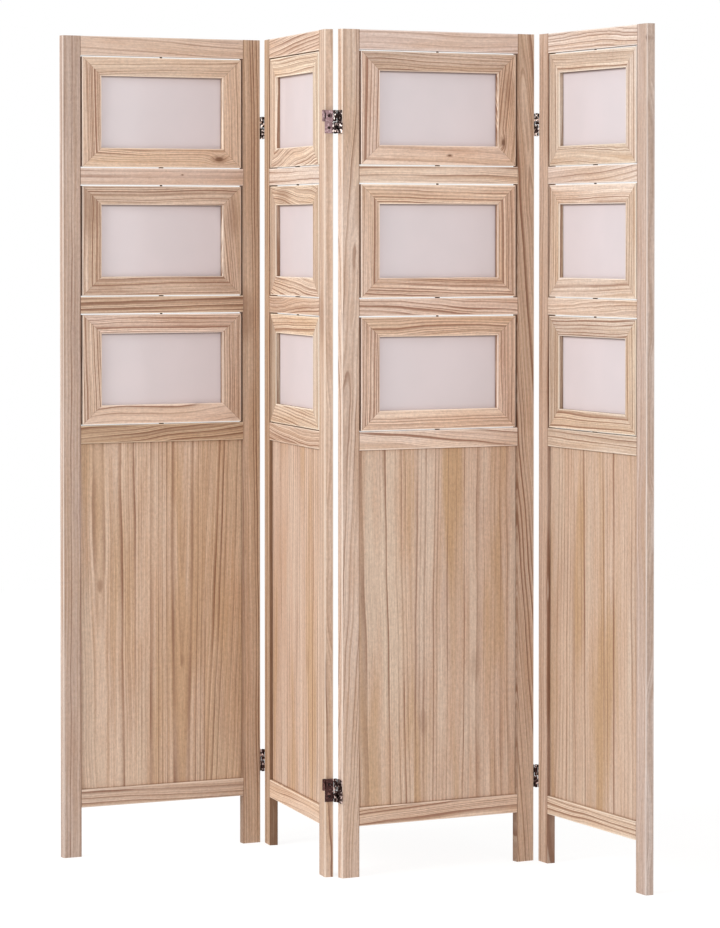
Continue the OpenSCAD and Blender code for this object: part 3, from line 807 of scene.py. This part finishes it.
# Painted light: how much lighter or darker each panel's cards are drawn, for how light falls on that panel
PANE_PAINTED_LIGHT = {1: 0.955, 2: 1.02, 3: 1.01, 4: 0.955}
PANE_IOR = 1.49
PANE_ROUGH_PATCH, PANE_ROUGH_LEAST = 0.05, 0.34
PANE_COAT, PANE_COAT_ROUGH = 0.25, 0.08


def window(panel, row):
    """The u and z limits of the opening in a photo frame."""
    local = panel.local(f"frame_{panel.number}_{row}_members")
    spans = []
    for axis in (0, 2):
        reach = inner_reach(local[:, axis])
        spans.append((local[:, axis].min() + reach, local[:, axis].max() - reach))
    return spans


def pane_material(panel, row):
    """A clear pane close over a plain card, with the frame's shade painted along its top and sides, and each
    panel's painted light.
    """
    window_u, window_z = window(panel, row)
    material, g = new_material(f"pane_{panel.number}_{row}")
    u, _, z = panel_place(g, panel)
    patch = g.noise(object_place(g), CARD_PATCHES)
    tooth = g.noise(object_place(g), TOOTH_GRAINS, roughness=TOOTH_ROUGHNESS)
    color = g.mix_color(g.smooth(patch, *PATCH_RAMP), CARD, CARD_PATCH)
    color = g.mix_color(g.math("MULTIPLY", tooth, TOOTH_DARK), color, TOOTH)
    top_shade = g.smooth(g.math("SUBTRACT", window_z[1], z), *TOP_SHADE)
    side_shade = g.smooth(nearest(g, u, *window_u), *SIDE_SHADE)
    color = g.mix_color(g.math("MAXIMUM", top_shade, side_shade), color, SHADE)
    # Painted light: the card of each panel is drawn lighter or darker
    light = PANE_PAINTED_LIGHT[panel.number]
    color = g.mix_color(1.0, color, (light, light, light, 1.0), "MULTIPLY")
    shader = g.node("ShaderNodeBsdfPrincipled", {
        "Base Color": color,
        "Roughness": g.math("MULTIPLY_ADD", patch, PANE_ROUGH_PATCH, PANE_ROUGH_LEAST),
        "IOR": PANE_IOR,
        "Coat Weight": PANE_COAT, "Coat Roughness": PANE_COAT_ROUGH, "Coat IOR": PANE_IOR})
    g.node("ShaderNodeOutputMaterial", {"Surface": shader.outputs[0]})
    return material


# Plated metal has painted glints in patches and in specks, so many of them per metre
METAL_PATCHES, METAL_PATCH_RAMP = 190.0, (0.53, 0.60)
METAL_SPECKS, METAL_SPECK_RAMP = 900.0, (0.6, 0.8, 0.0, 0.35)
METAL_PATCH_DETAIL, METAL_PATCH_ROUGHNESS, METAL_SPECK_ROUGHNESS = 3.0, 0.55, 0.6
METAL_ROUGH_PATCH, METAL_SHARE, METAL_RELIEF = 0.2, 0.9, 0.0001
HINGE_ROUGH, STEEL_ROUGH = 0.26, 0.30
# Each pair is the plating and its painted glints; the upper pairs are brighter than the lower ones as
# painted light
UPPER_HINGE_AND_GLINT = srgb(38, 24, 22), srgb(255, 238, 230)
LOWER_HINGE_AND_GLINT = srgb(50, 31, 29), srgb(214, 190, 183)
# Plates with a painted reflection, grey above and brown below, and their painted glints
UPPER_PLATE_AND_REFLECTION = srgb(122, 97, 99), srgb(158, 134, 136)
LOWER_PLATE_AND_REFLECTION = srgb(66, 42, 40), srgb(118, 84, 78)
DARK_STEEL = srgb(36, 24, 23), srgb(84, 68, 65)
# The panel whose right leaves carry a painted reflection, up to this far from the back of the wood
REFLECTING_LEAVES_PANEL = 2
PLATE_INSET = 0.0018


def finish_metal(g, material, base, glint, roughness):
    """Plated metal with painted glints in bright patches and specks."""
    place = object_place(g)
    patch = g.noise(place, METAL_PATCHES, METAL_PATCH_DETAIL, METAL_PATCH_ROUGHNESS)
    speck = g.noise(place, METAL_SPECKS, roughness=METAL_SPECK_ROUGHNESS)
    color = g.mix_color(g.smooth(patch, *METAL_PATCH_RAMP), base, glint)
    color = g.mix_color(g.smooth(speck, *METAL_SPECK_RAMP), color, glint)
    bump = g.node("ShaderNodeBump", {
        "Strength": BUMP_STRENGTH, "Distance": METAL_RELIEF, "Height": speck})
    shader = g.node("ShaderNodeBsdfPrincipled", {
        "Base Color": color, "Roughness": g.math("MULTIPLY_ADD", patch, METAL_ROUGH_PATCH, roughness),
        "Metallic": METAL_SHARE, "Normal": bump.outputs[0]})
    g.node("ShaderNodeOutputMaterial", {"Surface": shader.outputs[0]})
    return material


def hinge_material(panel):
    """Hinge parts: dark with bright painted glints at the upper hinges, and brown with duller painted glints
    at the lower ones.

    On the right edge of one panel they carry a painted reflection: lighter, and grey above.
    """
    material, g = new_material(f"hinge_metal_{panel.number}")
    u, v, z = panel_place(g, panel)
    # Painted light: the upper hinges get brighter glints and plates than the lower ones
    painted_light_above = g.math("GREATER_THAN", z, (cad_box[0].z + cad_box[1].z) / 2)
    colors = [g.mix_color(painted_light_above, low, high) for low, high in zip(LOWER_HINGE_AND_GLINT, UPPER_HINGE_AND_GLINT)]
    if panel.number == REFLECTING_LEAVES_PANEL:
        # Painted reflection on the flat plates of this panel's right leaves
        painted_reflection = g.math("MULTIPLY", g.math("LESS_THAN", v, panel.back_v - PLATE_INSET),
                       g.math("GREATER_THAN", u, panel.width))
        reflecting_plates = [g.mix_color(painted_light_above, low, high) for low, high in zip(LOWER_PLATE_AND_REFLECTION, UPPER_PLATE_AND_REFLECTION)]
        colors = [g.mix_color(painted_reflection, other, color) for other, color in zip(colors, reflecting_plates)]
    return finish_metal(g, material, *colors, HINGE_ROUGH)


def steel_material():
    """Pins, screws and pivots."""
    material, g = new_material("dark_steel")
    return finish_metal(g, material, *DARK_STEEL, STEEL_ROUGH)


steel = steel_material()
for panel in panels:
    number = panel.number
    for row in ROWS:
        give(f"frame_{number}_{row}_glazing", pane_material(panel, row))
    hinge = hinge_material(panel)
    for piece in ("hinge_leaves", "hinge_straps"):
        give(f"panel_{number}_{piece}", hinge)
    for piece in ("hinge_pins", "hinge_screws", "pivots"):
        give(f"panel_{number}_{piece}", steel)


# ---------------------------------------------------------------- floor, light and camera

FLOOR_RADIUS, FLOOR_SIDES = 6.0, 96
FLOOR_COLOR = (0.86, 0.85, 0.84, 1.0)
# What the camera sees of the floor: how much of it glows, and how brightly
FLOOR_GLOW_SHARE, FLOOR_GLOW = 0.70, 1.19
WHITE = (1.0, 1.0, 1.0, 1.0)
SKY_LIGHT = 0.64
LIGHT_TARGET = (0.0, 0.0, 0.9)
CAMERA_PLACE, CAMERA_PITCH = (0.0233, -7.5777, 1.2879), -1.3
SENSOR_WIDTH = 36.0
CLIP_NEAR, CLIP_FAR = 0.1, 60.0
# In pixels of the image: its height, the focal length, and the height of the optical axis
IMAGE_HEIGHT, FOCAL_LENGTH, AXIS_Y = 928, 3727.0, 320.0


def camera_sees(g):
    """1 for rays from the camera and in gloss or glass."""
    path = g.node("ShaderNodeLightPath").outputs
    seen = g.math("MAXIMUM", path["Is Camera Ray"], path["Is Glossy Ray"])
    return g.math("MAXIMUM", seen, path["Is Transmission Ray"])


def make_floor():
    """A round pale floor that shows as near white and keeps the screen's soft shadow."""
    low, high = cad_box
    centre = (low + high) / 2
    turns = [2 * math.pi * i / FLOOR_SIDES for i in range(FLOOR_SIDES)]
    rim = [(centre.x + FLOOR_RADIUS * math.cos(turn), centre.y + FLOOR_RADIUS * math.sin(turn), low.z)
           for turn in turns]
    mesh = bpy.data.meshes.new("floor")
    mesh.from_pydata(rim, [], [list(range(FLOOR_SIDES))])
    floor = bpy.data.objects.new("floor", mesh)
    bpy.context.scene.collection.objects.link(floor)
    material, g = new_material("floor")
    diffuse = g.node("ShaderNodeBsdfDiffuse", {"Color": FLOOR_COLOR})
    glow = g.node("ShaderNodeEmission", {"Color": WHITE, "Strength": FLOOR_GLOW})
    share = g.math("MULTIPLY", camera_sees(g), FLOOR_GLOW_SHARE)
    mixed = g.node("ShaderNodeMixShader", {0: share, 1: diffuse.outputs[0], 2: glow.outputs[0]})
    g.node("ShaderNodeOutputMaterial", {"Surface": mixed.outputs[0]})
    mesh.materials.append(material)


def make_world():
    """A white sky that lights the screen more softly than the camera sees it."""
    world = bpy.data.worlds.new("studio")
    bpy.context.scene.world = world
    world.use_nodes = True
    world.node_tree.nodes.clear()
    g = Graph(world.node_tree)
    level = g.mix(camera_sees(g), SKY_LIGHT, 1.0)
    sky = g.node("ShaderNodeBackground", {"Color": WHITE, "Strength": level})
    g.node("ShaderNodeOutputWorld", {"Surface": sky.outputs[0]})


def make_light(name, place, size, watts):
    """A square white lamp that faces the screen."""
    data = bpy.data.lights.new(name, "AREA")
    data.shape = "SQUARE"
    data.size = size
    data.energy = watts
    lamp = bpy.data.objects.new(name, data)
    lamp.location = place
    lamp.rotation_euler = (Vector(LIGHT_TARGET) - Vector(place)).to_track_quat("-Z", "Y").to_euler()
    bpy.context.scene.collection.objects.link(lamp)


def make_camera():
    """A camera that looks along +Y and a little down."""
    data = bpy.data.cameras.new("camera")
    data.sensor_width = SENSOR_WIDTH
    data.lens = FOCAL_LENGTH / IMAGE_HEIGHT * SENSOR_WIDTH
    data.shift_y = (AXIS_Y - IMAGE_HEIGHT / 2) / IMAGE_HEIGHT
    data.clip_start, data.clip_end = CLIP_NEAR, CLIP_FAR
    camera = bpy.data.objects.new("camera", data)
    camera.location = CAMERA_PLACE
    camera.rotation_euler = (math.radians(90 + CAMERA_PITCH), 0.0, 0.0)
    bpy.context.scene.collection.objects.link(camera)
    bpy.context.scene.camera = camera


make_floor()
make_world()
make_light("key", place=(-4.7, -3.2, 3.2), size=3.2, watts=214)
make_light("fill", place=(2.8, -4.2, 2.0), size=3.0, watts=44)
make_camera()
bpy.context.scene.view_settings.view_transform = "Standard"
